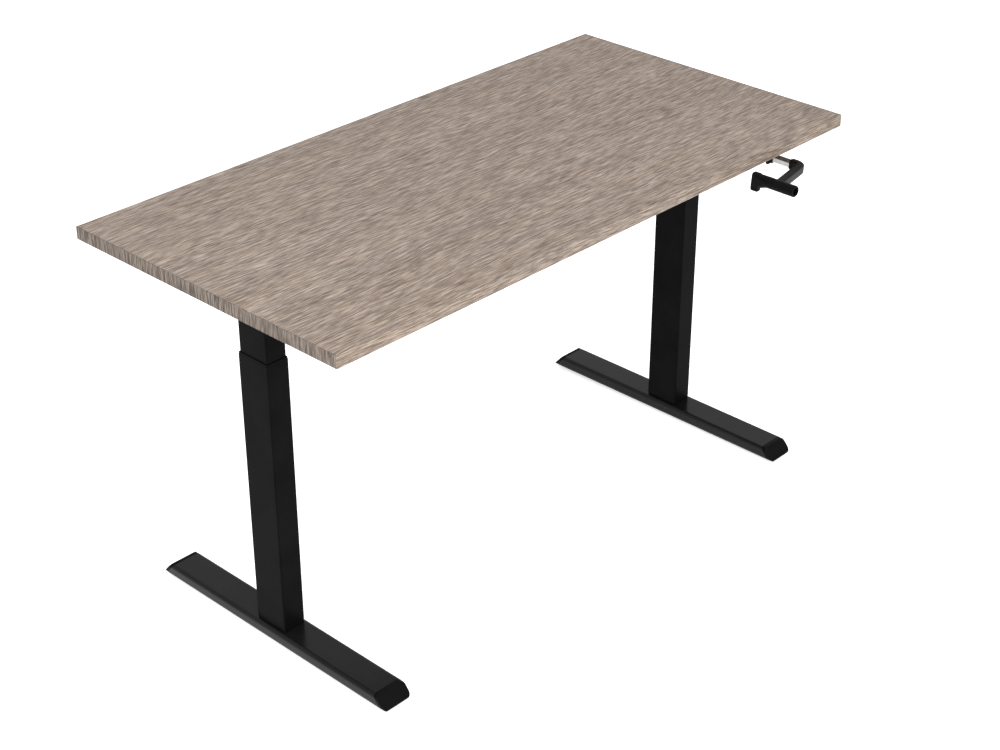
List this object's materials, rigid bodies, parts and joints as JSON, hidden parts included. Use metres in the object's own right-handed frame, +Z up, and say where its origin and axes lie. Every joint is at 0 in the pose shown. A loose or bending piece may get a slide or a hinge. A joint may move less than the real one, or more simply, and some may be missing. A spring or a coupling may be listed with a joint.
{
  "type": "height adjustable standing desk",
  "caption": "Rectangular wood-effect worktop on a black two-leg lifting frame with flat feet, raised and lowered by a hand crank under its front right corner.",
  "frame": {"origin": "on the floor, straight below the centre of the worktop", "axes": "+X to the right of a person sitting at the desk, +Y away from them, +Z up; the crank is at the front, -Y"},
  "size_m": [1.4, 0.819, 0.787],
  "materials": {
    "oak_laminate": "matt grey-brown oak decor paper laminate, fine grain along the worktop",
    "edge_band": "matt printed edge band",
    "particle_board": "pressed wood chips",
    "black_powder_coat": "semi-gloss black powder coat with a fine orange peel",
    "black_plastic": "fine-textured moulded plastic",
    "white_acetal": "plain moulded bearing plastic",
    "zinc_steel": "zinc-plated steel",
    "screw_steel": "rolled steel, lightly oiled",
    "gear_steel": "sintered steel, lightly greased",
    "cast_housing": "as-cast aluminium, tumbled",
    "brass": "turned brass",
    "rubber_pad": "moulded pad"
  },
  "bodies": {
    "base": {"foot_left": "black_powder_coat", "foot_right": "black_powder_coat", "foot_end_caps": "black_plastic", "leveller_inserts": "zinc_steel", "foot_plates": "black_powder_coat", "foot_bolts": "zinc_steel", "weld_nuts": "zinc_steel", "outer_column_left": "black_powder_coat", "outer_column_right": "black_powder_coat", "glide_collars": "black_plastic", "nut_posts": "zinc_steel", "lift_nuts": "brass"},
    "top": {"worktop_core": "particle_board", "worktop_top_sheet": "oak_laminate", "worktop_under_sheet": "oak_laminate", "edge_bands_long": "edge_band", "edge_bands_short": "edge_band", "inner_tube_left": "black_powder_coat", "inner_tube_right": "black_powder_coat", "inner_glides": "white_acetal", "gear_housing_left": "cast_housing", "gear_housing_right": "cast_housing", "gear_cover_left": "cast_housing", "gear_cover_right": "cast_housing", "screw_bearings": "zinc_steel", "rod_bushes": "brass", "crank_housing": "cast_housing", "crank_housing_cover": "cast_housing", "crank_bush": "brass", "side_bracket_left": "black_powder_coat", "side_bracket_right": "black_powder_coat", "cross_rail_front": "black_powder_coat", "cross_rail_back": "black_powder_coat", "rail_end_plates": "black_powder_coat", "rail_bolts": "zinc_steel", "crank_guide": "black_powder_coat", "worktop_screws": "zinc_steel", "housing_screws": "zinc_steel"},
    "screw_left": {"lead_screw_left": "screw_steel", "screw_gear_left": "gear_steel"},
    "screw_right": {"lead_screw_right": "screw_steel", "screw_gear_right": "gear_steel"},
    "rod": {"drive_rod": "zinc_steel", "rod_gear_left": "gear_steel", "rod_gear_right": "gear_steel", "rod_gear_crank": "gear_steel"},
    "crank": {"crank_gear": "gear_steel", "crank_stub": "screw_steel", "crank_pin": "zinc_steel", "crank_bar": "zinc_steel", "crank_sleeve": "black_plastic", "crank_arm": "black_plastic"},
    "grip": {"grip_front": "black_plastic", "grip_rear": "black_plastic", "grip_bolt": "zinc_steel"},
    "pad_front_left": {"levelling_pad_front_left": "rubber_pad"},
    "pad_front_right": {"levelling_pad_front_right": "rubber_pad"},
    "pad_back_left": {"levelling_pad_back_left": "rubber_pad"},
    "pad_back_right": {"levelling_pad_back_right": "rubber_pad"}
  },
  "joints": [
    {"name": "lift", "type": "slide", "parent": "base", "child": "top", "axis": [0, 0, 1], "range_m": [-0.064, 0.336]},
    {"name": "crank_turn", "type": "hinge", "parent": "top", "child": "crank", "pos_m": [0.51, -0.2, 0.742], "axis": [0, 1, 0], "range_deg": [-2890, 15130]},
    {"name": "rod_turn", "type": "hinge", "parent": "top", "child": "rod", "pos_m": [0, -0.024, 0.742], "axis": [1, 0, 0], "range_deg": [-15130, 2890]},
    {"name": "screw_left_turn", "type": "hinge", "parent": "top", "child": "screw_left", "pos_m": [-0.588, -0.024, 0.4], "axis": [0, 0, 1], "range_deg": [-2890, 15130]},
    {"name": "screw_right_turn", "type": "hinge", "parent": "top", "child": "screw_right", "pos_m": [0.588, -0.024, 0.4], "axis": [0, 0, 1], "range_deg": [-2890, 15130]},
    {"name": "grip_spin", "type": "hinge", "parent": "crank", "child": "grip", "pos_m": [0.38071, -0.4, 0.75559], "axis": [0, 1, 0], "continuous": true},
    {"name": "pad_front_left_level", "type": "slide", "parent": "base", "child": "pad_front_left", "axis": [0, 0, 1], "range_m": [-0.01, 0]},
    {"name": "pad_front_right_level", "type": "slide", "parent": "base", "child": "pad_front_right", "axis": [0, 0, 1], "range_m": [-0.01, 0]},
    {"name": "pad_back_left_level", "type": "slide", "parent": "base", "child": "pad_back_left", "axis": [0, 0, 1], "range_m": [-0.01, 0]},
    {"name": "pad_back_right_level", "type": "slide", "parent": "base", "child": "pad_back_right", "axis": [0, 0, 1], "range_m": [-0.01, 0]}
  ],
  "couplings": [
    {"joint": "crank_turn", "follows": "lift", "rad_per_m": 785.4},
    {"joint": "rod_turn", "follows": "lift", "rad_per_m": -785.4},
    {"joint": "screw_left_turn", "follows": "lift", "rad_per_m": 785.4},
    {"joint": "screw_right_turn", "follows": "lift", "rad_per_m": 785.4}
  ]
}
